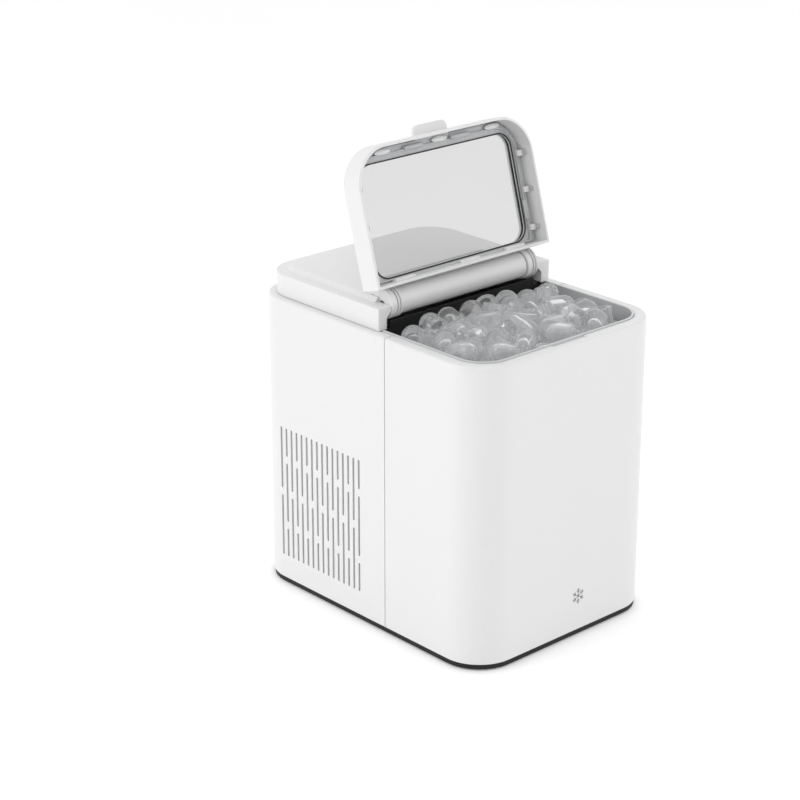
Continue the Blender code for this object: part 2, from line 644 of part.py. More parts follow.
def make_window(axis, under):
    """Clear pane under the opening, its thin seal, and the inner frame that clips it up."""
    lap = min(PANE_LAP, WINDOW_BACK - WALL - GAP)
    pane_top = under - GAP
    seal = add("lid_seal", window_prism(lap, pane_top - SEAL_T, pane_top), RUBBER, axis)
    cut(seal, "opening", window_prism(0.0006, pane_top - 0.01, pane_top + 0.01))
    pane_z = pane_top - SEAL_T - GAP
    add("lid_window", window_prism(lap, pane_z - PANE_T, pane_z), CLEAR, axis)
    trim_top = pane_z - PANE_T - GAP
    x = LID_HALF - WALL - 0.0015
    y0 = -LID_REACH + WALL + 0.0015
    y1 = -LID_BACK - WALL - GAP
    r = LID_CORNER_R - WALL - 0.0015
    trim = add("window_frame", prism(outline(-x, x, y0, y1, (r, r, 0.003, 0.003), 6),
                                     trim_top - TRIM_T, trim_top), GREY, axis)
    cut(trim, "opening", window_prism(-0.0006, trim_top - 0.01, trim_top + 0.01))


# ---- ice mechanism ------------------------------------------------------------------------------
def make_ice_mechanism():
    """Evaporator with fingers, its tube, the tilting tray, its motor, and the ice shovel."""
    block_z = PIVOT_Z + 0.008
    top_z = block_z + 0.009
    evaporator = add("evaporator", block(-0.070, 0.070, PIVOT_Y - 0.018, PIVOT_Y + 0.018,
                                         block_z, top_z), ALUMINIUM)
    rows = ((-0.0085, 5), (0.0085, 4))
    for offset, count in rows:
        for i in range(count):
            x = (i - (count - 1) / 2) * 0.030
            y = PIVOT_Y + offset
            finger = rod(FINGER_R, (x, y, block_z + 0.001), (x, y, PIVOT_Z - FINGER_TIP), 12)
            join(evaporator, f"finger_{'front' if offset < 0 else 'rear'}_{i}", finger)
    tube_r = 0.0025
    z = top_z + tube_r + GAP
    front, rear = PIVOT_Y - 0.009, PIVOT_Y + 0.007
    ends_z = RIM_Z + 0.0045
    wire("evaporator_tube", [(0.058, front, ends_z), (0.058, front, z), (-0.060, front, z),
                             (-0.060, rear, z), (0.040, rear, z), (0.040, PIVOT_Y - 0.003, z + 0.006),
                             (0.040, PIVOT_Y - 0.003, ends_z)], tube_r, COPPER)
    axis = axis_empty("tray_axis", (0, PIVOT_Y, PIVOT_Z))
    outer = TRAY_R + 0.0018
    low_arc = [(outer * math.cos(a), outer * math.sin(a))
               for a in (math.pi + i * math.pi / 20 for i in range(21))]
    tray = add("water_tray", side_profile(low_arc, -TRAY_X, TRAY_X), GREY, axis)
    in_arc = [(TRAY_R * math.cos(a), TRAY_R * math.sin(a))
              for a in (math.pi + i * math.pi / 20 for i in range(21))]
    cut(tray, "inside", side_profile([(p[0], p[1]) for p in in_arc] + [(TRAY_R, 0.01), (-TRAY_R, 0.01)],
                                     -TRAY_X + 0.002, TRAY_X - 0.002))
    cut(tray, "lip", block(-WIDTH, WIDTH, -0.05, 0.05, -0.004, 0.05))
    for side, sx in (("left", -1), ("right", 1)):
        ear = [(0.006 * math.cos(a), 0.006 * math.sin(a)) for a in (i * math.pi / 8 for i in range(16))]
        xs = sorted((sx * (TRAY_X - 0.002), sx * TRAY_X))
        join(tray, f"ear_{side}", side_profile(ear, *xs))
        join(tray, f"pin_{side}", rod(0.0025, (sx * (TRAY_X - 0.001), 0, 0), (sx * (TRAY_X + 0.006), 0, 0), 16))


def make_tray_drive():
    """The tray's gear motor beside it, with a bore for the tray's pin."""
    x0 = TRAY_X + 0.0008
    motor = add("tray_motor", block(x0, LINER_HALF - LINER_WALL - 0.0006, PIVOT_Y - 0.012, PIVOT_Y + 0.012,
                                    PIVOT_Z - 0.016, PIVOT_Z + 0.012), BLACK)
    cut(motor, "bore", rod(0.0025 + GAP, (x0 - 0.01, PIVOT_Y, PIVOT_Z), (x0 + 0.008, PIVOT_Y, PIVOT_Z), 16))
    bearing = add("tray_bearing", block(-(LINER_HALF - LINER_WALL - 0.0006), -x0, PIVOT_Y - 0.008,
                                        PIVOT_Y + 0.008, PIVOT_Z - 0.010, PIVOT_Z + 0.008), BLACK)
    cut(bearing, "bore", rod(0.0025 + GAP, (-x0 - 0.008, PIVOT_Y, PIVOT_Z), (-x0 + 0.01, PIVOT_Y, PIVOT_Z), 16))


SHOVEL_Y, SHOVEL_Z = BIN_BACK + 0.010, RIM_Z - 0.016


def make_housing():
    """The dark housing across the bin's rear, its window for the ice, and the shovel in it."""
    x = LINER_HALF - LINER_WALL - 0.0006
    y0, y1 = BIN_BACK - LINER_WALL, BIN_BACK + 0.0005
    housing = add("ice_housing", block(-x, x, y0, y1, SHELF_FLOOR + GAP, RIM_Z - 0.0015), BLACK)
    middle = KNUCKLE_X - 0.001
    join(housing, "upper", block(-middle, middle, y0, y1, RIM_Z - 0.010, HINGE_Z - NOSE_R - 0.0012))
    cut(housing, "chute", block(-0.072, 0.072, y0 - 0.01, y1 + 0.01, SHELF_FLOOR + 0.012, RIM_Z - 0.032))
    axis = axis_empty("shovel_axis", (0, SHOVEL_Y, SHOVEL_Z))
    shovel = add("ice_shovel", rod(0.003, (-0.082, 0, 0), (0.082, 0, 0), 16), GREY, axis)
    join(shovel, "blade", block(-0.068, 0.068, -0.0010, 0.0010, -0.030, 0.0))
    for i in range(-3, 4):
        x = i * 0.020
        join(shovel, f"tine_{i}", block(x - 0.002, x + 0.002, -0.0014, 0.0014, -0.042, -0.028))
    for side, sx in (("left", -1), ("right", 1)):
        inner = 0.0795
        xs = sorted((sx * inner, sx * (LINER_HALF - LINER_WALL - 0.0006)))
        bracket = add(f"shovel_bracket_{side}", block(*xs, y1 + GAP, SHOVEL_Y + 0.006,
                                                      SHOVEL_Z - 0.006, SHOVEL_Z + 0.006), BLACK)
        cut(bracket, "bore", rod(0.003 + GAP, (sx * (inner - 0.01), SHOVEL_Y, SHOVEL_Z),
                                 (sx * 0.0835, SHOVEL_Y, SHOVEL_Z), 16))
        sensor_y = BIN_BACK - LINER_WALL - GAP
        sx0 = sx * (LINER_HALF - LINER_WALL - 0.0006)
        add(f"ice_sensor_{side}", block(*sorted((sx0, sx0 - sx * 0.006)), sensor_y - 0.007, sensor_y,
                                        RIM_Z - 0.011, RIM_Z - 0.003), BLACK)


# ---- cold and water system --------------------------------------------------------------------
COMPRESSOR = Vector((0.052, 0.079, 0.0))
COMPRESSOR_R = 0.036
GROMMET_OFFSET = 0.026
FAN_Y, FAN_Z = 0.060, 0.092
FAN_R = 0.040


def make_machine():
    """Compressor, condenser, fan, pump and pipes in the space below the bin."""
    tray_z = BASE_Z + 0.0025 + GAP
    grommet_h = 0.006
    base = tray_z + grommet_h + GAP
    profile = [(0, base + 0.118), (0.012, base + 0.117), (0.026, base + 0.111), (0.034, base + 0.100),
               (COMPRESSOR_R, base + 0.086), (COMPRESSOR_R, base + 0.050),
               (COMPRESSOR_R + 0.0012, base + 0.048), (COMPRESSOR_R + 0.0012, base + 0.044),
               (COMPRESSOR_R, base + 0.042), (COMPRESSOR_R, base + 0.020), (0.030, base + 0.008),
               (0.020, base + 0.003), (0, base + 0.0028)]
    turned("compressor", profile, ENAMEL, (COMPRESSOR.x, COMPRESSOR.y, 0), sides=32)
    reach = GROMMET_OFFSET + 0.008
    plate = prism(outline(COMPRESSOR.x - reach, COMPRESSOR.x + reach, COMPRESSOR.y - reach,
                          COMPRESSOR.y + reach, (0.008,) * 4, 3), base, base + 0.002)
    add("compressor_plate", plate, STEEL)
    for side, sx in (("left", -1), ("right", 1)):
        for end, sy in (("front", -1), ("rear", 1)):
            x, y = COMPRESSOR.x + sx * GROMMET_OFFSET, COMPRESSOR.y + sy * GROMMET_OFFSET
            turned(f"grommet_{end}_{side}",
                   [(0, base - GAP), (0.0055, base - GAP), (0.0055, base - 0.0022), (0.0042, base - 0.003),
                    (0.0055, base - 0.004), (0.0055, tray_z), (0, tray_z)], RUBBER, (x, y, 0), sides=16)
    # condenser behind the left grille, then the fan that draws air through it
    inner = HALF_W - WALL
    x0, x1 = -inner + 0.004, -inner + 0.022
    core = add("condenser", block(x0, x1, 0.012, 0.110, 0.030, 0.156), ALUMINIUM)
    grooves = [block(x0 - 0.001, x0 + 0.007, y, y + 0.0026, 0.026, 0.160)
               for y in [0.0165 + i * 0.0055 for i in range(17)]]
    cut(core, "fins", merge(*grooves))
    for i in range(5):
        z = 0.043 + i * 0.025
        cut(core, f"tube_{i}", rod(0.0028 + GAP, (x1 - 0.006, 0.0, z), (x1 - 0.006, 0.12, z), 12))
    points = []
    for i in range(5):
        z = 0.043 + i * 0.025
        ends = [(x1 - 0.006, 0.006, z), (x1 - 0.006, 0.116, z)]
        points += ends if i % 2 == 0 else ends[::-1]
    wire("condenser_tube", points, 0.0028, COPPER)
    shroud_x = x1 + 0.0008
    shroud = add("fan_shroud", block(shroud_x, shroud_x + 0.016, FAN_Y - 0.047, FAN_Y + 0.047,
                                     FAN_Z - 0.047, FAN_Z + 0.047), BLACK)
    cut(shroud, "throat", rod(FAN_R + 0.002, (shroud_x - 0.01, FAN_Y, FAN_Z), (shroud_x + 0.0135, FAN_Y, FAN_Z), 32))
    cut(shroud, "sectors", fan_openings(shroud_x + 0.010, shroud_x + 0.02))
    cut(shroud, "shaft", rod(0.0028, (shroud_x, FAN_Y, FAN_Z), (shroud_x + 0.02, FAN_Y, FAN_Z), 12))
    hub_x = shroud_x + 0.016 + GAP
    turned("fan_motor", [(0, 0.024), (0.014, 0.024), (0.015, 0.023), (0.015, 0.0), (0, 0.0)], BLACK,
           (hub_x, FAN_Y, FAN_Z), "X", 24)
    make_rotor(shroud_x + 0.0015, 0.0095)
    make_water_and_pipes(base, x1)


def fan_openings(x0, x1):
    """Four quarter-ring openings through the shroud's back plate, leaving a spider for the motor."""
    shapes = []
    for quarter in range(4):
        a0 = math.radians(quarter * 90 + 8)
        a1 = math.radians(quarter * 90 + 82)
        outer = [(FAN_Y + (FAN_R - 0.001) * math.cos(a0 + (a1 - a0) * i / 8),
                  FAN_Z + (FAN_R - 0.001) * math.sin(a0 + (a1 - a0) * i / 8)) for i in range(9)]
        inner = [(FAN_Y + 0.017 * math.cos(a1 - (a1 - a0) * i / 4),
                  FAN_Z + 0.017 * math.sin(a1 - (a1 - a0) * i / 4)) for i in range(5)]
        shapes.append(side_profile(outer + inner, x0, x1))
    return merge(*shapes)


def make_rotor(x0, width):
    """Fan rotor: a hub and seven pitched blades."""
    axis = axis_empty("fan_axis", (x0, FAN_Y, FAN_Z))
    rotor = add("fan_rotor", rod(0.014, (0, 0, 0), (width, 0, 0), 24), BLACK, axis)
    join(rotor, "shaft", rod(0.002, (width - 0.001, 0, 0), (0.0145, 0, 0), 12))
    blades = 7
    for i in range(blades):
        blade = block(-0.0008, 0.0008, -0.0100, 0.0100, 0.012, FAN_R - 0.001)
        pitch = Matrix.Rotation(math.radians(25), 4, "Z")
        around = Matrix.Rotation(i * 2 * math.pi / blades, 4, "X")
        centre = Matrix.Translation((width / 2, 0, 0))
        bmesh.ops.transform(blade, matrix=around @ centre @ pitch, verts=blade.verts)
        join(rotor, f"blade_{i}", blade)


def make_water_and_pipes(base, condenser_x):
    """Pump, hose, drain, refrigerant lines, drier and valve."""
    tray_z = BASE_Z + 0.0025 + GAP
    pump = add("water_pump", rod(0.016, (0.050, -0.040, tray_z), (0.050, -0.040, 0.036), 24), BLACK)
    join(pump, "neck", rod(0.0045, (0.050, -0.040, 0.035), (0.050, -0.040, 0.0555), 16))
    join(pump, "outlet", rod(0.0035, (0.050, -0.040, 0.022), (0.050, -0.062, 0.022), 12))
    wire("pump_hose", [(0.050, -0.0625, 0.022), (0.050, -0.078, 0.022), (0.084, -0.078, 0.022),
                       (0.1035, -0.060, 0.022), (0.1045, 0.020, 0.030), (0.1045, 0.020, 0.158)],
         0.0030, SILICONE)
    drain = [(DRAIN_X, -0.030, 0.0665), (DRAIN_X, -0.030, DRAIN_Z), (DRAIN_X, HALF_D - 0.020, DRAIN_Z)]
    wire("drain_hose", drain, 0.0050, SILICONE, 3)
    fitting = add("drain_fitting", rod(DRAIN_R, (DRAIN_X, HALF_D - 0.0195, DRAIN_Z),
                                       (DRAIN_X, HALF_D - 0.0005, DRAIN_Z), 24), GREY)
    cut(fitting, "bore", rod(DRAIN_R - 0.002, (DRAIN_X, HALF_D - 0.014, DRAIN_Z),
                             (DRAIN_X, HALF_D + 0.01, DRAIN_Z), 24))
    plug_r = DRAIN_R - 0.002 - GAP
    turned("drain_plug", [(0, 0.0), (plug_r - 0.0005, 0.0), (plug_r, -0.0005), (plug_r, -0.011),
                          (plug_r - 0.001, -0.0125), (0, -0.0125)], RUBBER,
           (DRAIN_X, HALF_D - 0.0008, DRAIN_Z), "Y", 24)
    cap = base + 0.118
    cx, cy = COMPRESSOR.x, COMPRESSOR.y
    high = RIM_Z + 0.0095
    wire("suction_line", [(cx, cy, cap + 0.0004), (cx, cy, cap + 0.022), (0.058, 0.1015, cap + 0.030),
                          (0.058, 0.1015, high), (0.058, PIVOT_Y - 0.009, high),
                          (0.058, PIVOT_Y - 0.009, RIM_Z + 0.0050)], 0.0025, COPPER)
    side = cx - COMPRESSOR_R - GAP
    wire("discharge_line", [(side, cy, 0.070), (side - 0.010, cy, 0.070), (side - 0.010, 0.124, 0.070),
                            (side - 0.010, 0.124, 0.160), (condenser_x - 0.006, 0.124, 0.160),
                            (condenser_x - 0.006, 0.124, 0.143), (condenser_x - 0.006, 0.1165, 0.143)],
         0.0022, COPPER)
    drier = Vector((-0.030, 0.018, 0.050))
    turned("filter_drier", [(0, 0.050), (0.003, 0.050), (0.003, 0.045), (0.008, 0.040), (0.008, 0.010),
                            (0.003, 0.005), (0.003, 0.0), (0, 0.0)], COPPER, drier, sides=20)


def make_electrics():
    """Main board on its bracket behind the fan, and the mains inlet socket."""
    y = HALF_D - WALL - 0.012
    bracket = add("board_bracket", block(-0.050, 0.002, y, y + 0.0015, 0.070, 0.150), STEEL)
    add("main_board", block(-0.048, 0.000, y - 0.0052, y - 0.0036, 0.072, 0.148), BOARD)
    for i, (x, z) in enumerate(((-0.044, 0.076), (-0.004, 0.076), (-0.044, 0.144), (-0.004, 0.144))):
        join(bracket, f"post_{i}", rod(0.002, (x, y - 0.0033, z), (x, y + 0.001, z), 10))
    socket = add("power_inlet", block(INLET_X - INLET_W / 2, INLET_X + INLET_W / 2, HALF_D - 0.022,
                                      HALF_D - 0.0005, INLET_Z - INLET_H / 2, INLET_Z + INLET_H / 2), BLACK)
    m = 0.0030
    cut(socket, "well", block(INLET_X - INLET_W / 2 + m, INLET_X + INLET_W / 2 - m, HALF_D - 0.018,
                              HALF_D + 0.01, INLET_Z - INLET_H / 2 + m, INLET_Z + INLET_H / 2 - m))
    for i, (dx, dz) in enumerate(((-0.006, -0.0015), (0.006, -0.0015), (0.0, 0.0025))):
        x, z = INLET_X + dx, INLET_Z + dz
        join(socket, f"prong_{i}", block(x - 0.001, x + 0.001, HALF_D - 0.019, HALF_D - 0.006,
                                         z - 0.002, z + 0.002))


tray_object = make_base()
make_shells()
drill_base(tray_object)
make_bin()
make_basket()
make_cover()
make_controls()
make_lid()
make_ice_mechanism()
make_tray_drive()
make_housing()
make_machine()
make_electrics()
bpy.context.view_layer.update()
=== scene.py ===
import math

import bmesh
import bpy
import numpy as np
from mathutils import Matrix, Vector


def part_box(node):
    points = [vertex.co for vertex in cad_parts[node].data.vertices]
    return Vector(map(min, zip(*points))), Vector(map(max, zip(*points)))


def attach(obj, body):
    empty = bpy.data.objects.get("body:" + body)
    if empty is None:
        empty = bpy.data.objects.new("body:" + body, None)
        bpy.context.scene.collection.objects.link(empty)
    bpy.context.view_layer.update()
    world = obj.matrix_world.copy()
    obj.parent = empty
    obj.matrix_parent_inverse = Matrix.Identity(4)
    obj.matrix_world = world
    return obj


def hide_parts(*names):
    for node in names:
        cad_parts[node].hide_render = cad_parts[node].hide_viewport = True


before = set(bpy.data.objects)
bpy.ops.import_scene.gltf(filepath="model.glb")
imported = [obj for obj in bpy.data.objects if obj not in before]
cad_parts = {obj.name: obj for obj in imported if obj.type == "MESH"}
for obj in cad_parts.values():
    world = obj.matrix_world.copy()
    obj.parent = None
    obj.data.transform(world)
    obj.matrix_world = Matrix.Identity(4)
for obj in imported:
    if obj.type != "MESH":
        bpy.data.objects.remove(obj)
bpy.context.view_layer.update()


# ---- Base tray ----------------------------------------------------------------------------
# The machine stands on a black ABS tray, injection moulded with a low upstand that the two
# shells slip over. It shows as a thin dark band under the white casing.
def finish_of(name, dark, light, rough, grain=900.0, relief=0.00002, metal=0.0, stretch=None):
    """A finish with a slight mottle and a fine grain; stretch draws the grain out."""
    finish = bpy.data.materials.new(name)
    finish.use_nodes = True
    tree = finish.node_tree
    shader = tree.nodes["Principled BSDF"]
    place = tree.nodes.new("ShaderNodeTexCoord")
    mottle = tree.nodes.new("ShaderNodeTexNoise")
    mottle.inputs["Scale"].default_value = grain
    mottle.inputs["Detail"].default_value = 3.0
    source = place.outputs["Object"]
    if stretch:
        drawn = tree.nodes.new("ShaderNodeMapping")
        drawn.inputs["Scale"].default_value = stretch
        tree.links.new(source, drawn.inputs["Vector"])
        source = drawn.outputs["Vector"]
    tree.links.new(source, mottle.inputs["Vector"])
    tones = tree.nodes.new("ShaderNodeValToRGB")
    tones.color_ramp.elements[0].position = 0.3
    tones.color_ramp.elements[0].color = (*dark, 1)
    tones.color_ramp.elements[1].position = 0.7
    tones.color_ramp.elements[1].color = (*light, 1)
    tree.links.new(mottle.outputs["Fac"], tones.inputs["Fac"])
    tree.links.new(tones.outputs["Color"], shader.inputs["Base Color"])
    bump = tree.nodes.new("ShaderNodeBump")
    bump.inputs["Strength"].default_value = 0.3
    bump.inputs["Distance"].default_value = relief
    tree.links.new(mottle.outputs["Fac"], bump.inputs["Height"])
    tree.links.new(bump.outputs["Normal"], shader.inputs["Normal"])
    shader.inputs["Roughness"].default_value = rough
    shader.inputs["Metallic"].default_value = metal
    return finish


def smooth(piece, angle=32):
    """Round faces shade smoothly, and edges sharper than the angle stay crisp."""
    piece.data.shade_smooth()
    piece.data.set_sharp_from_angle(angle=math.radians(angle))
    return piece


def placed(name, bm, finish, body, angle=32, turn=None):
    """A piece from a bmesh, in its finish, riding on its body; turn puts it in place first."""
    bmesh.ops.recalc_face_normals(bm, faces=bm.faces)
    if turn is not None:
        bmesh.ops.transform(bm, matrix=turn, verts=bm.verts)
    mesh = bpy.data.meshes.new(name)
    bm.to_mesh(mesh)
    bm.free()
    piece = bpy.data.objects.new(name, mesh)
    bpy.context.scene.collection.objects.link(piece)
    mesh.materials.append(finish)
    smooth(piece, angle)
    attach(piece, body)
    return piece


def eased(piece, width, steps=2, angle=40):
    """Rounds off the piece's sharp edges."""
    edge = piece.modifiers.new("eased_edges", "BEVEL")
    edge.width = width
    edge.segments = steps
    edge.limit_method = "ANGLE"
    edge.angle_limit = math.radians(angle)
    edge.harden_normals = True
    return piece


def dressed(node, finish, body, ease=0.0004, steps=2, angle=35):
    """The moulded or pressed part of that name with its edges eased."""
    bm = bmesh.new()
    bm.from_mesh(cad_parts[node].data)
    bmesh.ops.remove_doubles(bm, verts=bm.verts, dist=0.000002)
    bmesh.ops.dissolve_limit(bm, angle_limit=math.radians(0.4), verts=bm.verts, edges=bm.edges)
    piece = placed(node + "_moulding", bm, finish, body, angle)
    if "custom_normal" in piece.data.attributes:
        piece.data.attributes.remove(piece.data.attributes["custom_normal"])
    if ease:
        eased(piece, ease, steps, angle)
    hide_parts(node)
    return piece


def shader_of(finish):
    """The finish's shader, for values that finish_of doesn't set."""
    return finish.node_tree.nodes["Principled BSDF"].inputs


black_plastic = finish_of("black_plastic", (0.008, 0.008, 0.009), (0.014, 0.014, 0.015), 0.55)
shader_of(black_plastic)["Specular IOR Level"].default_value = 0.3
dressed("base_tray", black_plastic, "casing", 0.0005)


# ---- Feet ---------------------------------------------------------------------------------
# Four round rubber feet, pressed into seats in the tray's underside, keep the machine from
# sliding and damp the compressor.
rubber = finish_of("grey_rubber", (0.03, 0.03, 0.03), (0.055, 0.055, 0.055), 0.85, 600, 0.00004)
for foot in ("front_left", "front_right", "rear_left", "rear_right"):
    dressed("foot_" + foot, rubber, "casing", 0.0003)


# ---- Casing shells ------------------------------------------------------------------------
# Two white satin ABS shells, 2.5 mm thick, meet at an upright seam. Each has a flat rim band
# with rolled edges, and the rear one has a slotted grille in both sides.
def plan(x0, x1, y0, y1, radii, steps=14, keep_front=False):
    """The plan outline as a function of its inset, always with the same number of points."""
    def points(inset):
        front = y0 if keep_front else y0 + inset
        corners = [(x0 + inset, front, 1, 1), (x1 - inset, front, -1, 1),
                   (x1 - inset, y1 - inset, -1, -1), (x0 + inset, y1 - inset, 1, -1)]
        ring = []
        for number, ((x, y, sx, sy), radius) in enumerate(zip(corners, radii)):
            r = max(radius - inset, 0.00015)
            start = math.pi + number * math.pi / 2
            for i in range(steps + 1):
                a = start + i * math.pi / 2 / steps
                ring.append((x + sx * r + r * math.cos(a), y + sy * r + r * math.sin(a)))
        return ring
    return points


def bend(inset, z, radius, start, end, steps=6):
    """Section points round a small radius, as (inset, z), between two angles in degrees."""
    turn = [math.radians(start + (end - start) * i / steps) for i in range(steps + 1)]
    return [(inset + radius * math.cos(a), z + radius * math.sin(a)) for a in turn]


def swept(outline, section, closed=True):
    """A bmesh of a section of (inset, z) points carried round an outline."""
    bm = bmesh.new()
    loops = [[bm.verts.new((x, y, z)) for x, y in outline(inset)] for inset, z in section]
    pairs = list(zip(loops, loops[1:]))
    if closed:
        pairs.append((loops[-1], loops[0]))
    for low, high in pairs:
        for i in range(len(low)):
            j = (i + 1) % len(low)
            bm.faces.new((low[i], low[j], high[j], high[i]))
    if not closed:
        bm.faces.new(loops[0][::-1])
        bm.faces.new(loops[-1])
    return bm


def box_mesh(x0, x1, y0, y1, z0, z1, ease=0.0, steps=2):
    """A bmesh block between two corners, with eased edges."""
    bm = bmesh.new()
    size = Matrix.Diagonal((x1 - x0, y1 - y0, z1 - z0, 1))
    middle = Matrix.Translation(((x0 + x1) / 2, (y0 + y1) / 2, (z0 + z1) / 2))
    bmesh.ops.create_cube(bm, size=1, matrix=middle @ size)
    if ease:
        bmesh.ops.bevel(bm, geom=bm.edges[:], offset=ease, segments=steps, affect="EDGES",
                        profile=0.5)
    return bm


def carve(piece, tool_mesh, angle=32):
    """Cuts a bmesh shape out of a piece."""
    bmesh.ops.recalc_face_normals(tool_mesh, faces=tool_mesh.faces)
    mesh = bpy.data.meshes.new("tool")
    tool_mesh.to_mesh(mesh)
    tool_mesh.free()
    tool = bpy.data.objects.new("tool", mesh)
    bpy.context.scene.collection.objects.link(tool)
    step = piece.modifiers.new("cut", "BOOLEAN")
    step.operation = "DIFFERENCE"
    step.solver = "EXACT"
    step.object = tool
    bpy.context.view_layer.update()
    cut_piece = piece.evaluated_get(bpy.context.evaluated_depsgraph_get())
    result = bpy.data.meshes.new_from_object(cut_piece)
    piece.modifiers.clear()
    old = piece.data
    piece.data = result
    bpy.data.meshes.remove(old)
    bpy.data.objects.remove(tool)
    bpy.data.meshes.remove(mesh)
    return smooth(piece, angle)


white_abs = finish_of("white_abs", (0.77, 0.77, 0.77), (0.80, 0.80, 0.80), 0.34, 1400, 0.000012)
casing_low, casing_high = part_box("front_shell")
rim_z = casing_high.z
foot_z = casing_low.z
half_w = casing_high.x
half_d = -casing_low.y
seam_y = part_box("rear_shell")[0].y
corner_r = 0.038
rim_band = 0.0105
wall = 0.0025
casing_plan = plan(-half_w, half_w, -half_d, half_d, (corner_r,) * 4, 20)
rim_roll = 0.0022
lip_roll = 0.0008
shell_section = ([(0.0003, foot_z), (0.0, foot_z + 0.0004)]
                 + bend(rim_roll, rim_z - rim_roll, rim_roll, 180, 90)
                 + bend(rim_band - lip_roll, rim_z - lip_roll, lip_roll, 90, 0, 3)
                 + [(rim_band, rim_z - 0.0024), (wall + 0.001, rim_z - 0.0026),
                    (wall, rim_z - 0.0036), (wall, foot_z)])


def half_shell(name, y, keep_front):
    """One shell: the swept casing kept on one side of the seam, its cut ends closed."""
    bm = swept(casing_plan, shell_section)
    bmesh.ops.recalc_face_normals(bm, faces=bm.faces)
    away = Vector((0, 1, 0)) if keep_front else Vector((0, -1, 0))
    bmesh.ops.bisect_plane(bm, geom=bm.verts[:] + bm.edges[:] + bm.faces[:],
                           plane_co=(0, y, 0), plane_no=away, clear_outer=True)
    bmesh.ops.holes_fill(bm, edges=[e for e in bm.edges if e.is_boundary], sides=0)
    piece = placed(name + "_skin", bm, white_abs, "casing")
    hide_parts(name)
    return piece


seam_gap = 0.0007
front = half_shell("front_shell", seam_y - seam_gap, True)
notch_half, notch_deep = 0.0195, 0.0012
carve(front, box_mesh(-notch_half, notch_half, -half_d + 0.0052, -half_d + 0.03,
                      rim_z - notch_deep, rim_z + 0.02))
eased(front, 0.0003)
rear = half_shell("rear_shell", seam_y, False)

slot_w = 0.0024
slot_pitch = 0.00706
first_slot_y = 0.0035
slot_columns = 16
slot_bottom, slot_top = 0.0290, 0.1565
short_slot = 0.0280
slot_bridge = 0.0068


def slot_mesh(bm, y, z0, z1, x0, x1):
    """One slot's shape with rounded ends, across a side wall."""
    r = slot_w / 2
    ring = []
    for centre, first in ((z1 - r, 0), (z0 + r, math.pi)):
        ring += [(y + r * math.cos(a), centre + r * math.sin(a))
                 for a in (first + i * math.pi / 5 for i in range(6))]
    ends = [[bm.verts.new((x, yy, zz)) for yy, zz in ring] for x in (x0, x1)]
    bm.faces.new(ends[0][::-1])
    bm.faces.new(ends[1])
    for i in range(len(ring)):
        j = (i + 1) % len(ring)
        bm.faces.new((ends[0][i], ends[0][j], ends[1][j], ends[1][i]))


grille = bmesh.new()
for column in range(slot_columns):
    y = first_slot_y + column * slot_pitch
    middle = (slot_bottom + slot_top) / 2
    if column % 2:
        runs = [(slot_bottom, middle - slot_bridge / 2), (middle + slot_bridge / 2, slot_top)]
    else:
        inset = short_slot + slot_bridge
        runs = [(slot_bottom, slot_bottom + short_slot), (slot_bottom + inset, slot_top - inset),
                (slot_top - short_slot, slot_top)]
    for z0, z1 in runs:
        slot_mesh(grille, y, z0, z1, -half_w - 0.005, -half_w + 0.006)
        slot_mesh(grille, y, z0, z1, half_w - 0.006, half_w + 0.005)
carve(rear, grille)
through = 0.01
inlet_low, inlet_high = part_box("power_inlet")
inlet_gap = 0.0003
carve(rear, box_mesh(inlet_low.x - inlet_gap, inlet_high.x + inlet_gap,
                     half_d - through, half_d + through,
                     inlet_low.z - inlet_gap, inlet_high.z + inlet_gap))
drain_low, drain_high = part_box("drain_fitting")
drain_x, drain_z = (drain_low.x + drain_high.x) / 2, (drain_low.z + drain_high.z) / 2


def round_tool(x, z, radius, y0, y1, sides=40):
    """A round cutter or pin along Y."""
    bm = bmesh.new()
    lie = Matrix.Translation((x, (y0 + y1) / 2, z)) @ Matrix.Rotation(math.pi / 2, 4, "X")
    bmesh.ops.create_cone(bm, cap_ends=True, segments=sides, radius1=radius, radius2=radius,
                          depth=y1 - y0, matrix=lie)
    return bm


drain_hole = 0.0088
carve(rear, round_tool(drain_x, drain_z, drain_hole, half_d - through, half_d + through))
screw_x, screw_z = 0.064, 0.0115
head_seat, head_deep, shank_hole = 0.0038, 0.0013, 0.0017
for x in (-screw_x, screw_x):
    carve(rear, round_tool(x, screw_z, head_seat, half_d - head_deep, half_d + through, 24))
    carve(rear, round_tool(x, screw_z, shank_hole, half_d - through, half_d + through, 16))
eased(rear, 0.0003)


# ---- Screws -------------------------------------------------------------------------------
# Two steel self-tapping screws hold the rear shell to the base tray's upstand.
steel = finish_of("steel", (0.42, 0.43, 0.44), (0.55, 0.56, 0.57), 0.32, 300, 0.00001,
                  1.0, (1, 1, 30))
cross_arm, cross_half = 0.0022, 0.0004
cross_bottom = half_d - 0.0009
for side, x in (("left", -screw_x), ("right", screw_x)):
    screw = dressed("back_screw_" + side, steel, "casing", 0.0002)
    carve(screw, box_mesh(x - cross_arm, x + cross_arm, cross_bottom, half_d + through,
                          screw_z - cross_half, screw_z + cross_half))
    carve(screw, box_mesh(x - cross_half, x + cross_half, cross_bottom, half_d + through,
                          screw_z - cross_arm, screw_z + cross_arm))


# ---- Bin liner and insulation -------------------------------------------------------------
# The ice bin is a light grey polypropylene liner whose lip stands just proud of the rim band.
# A moulded polystyrene jacket around it keeps the ice cold.
liner_grey = finish_of("light_grey_plastic", (0.60, 0.61, 0.62), (0.66, 0.67, 0.68), 0.38, 1100)
foam = finish_of("white_foam", (0.74, 0.74, 0.72), (0.84, 0.84, 0.82), 0.9, 450, 0.0003)
dressed("bin_liner", liner_grey, "casing", 0.0004)
dressed("bin_insulation", foam, "casing", 0.001)


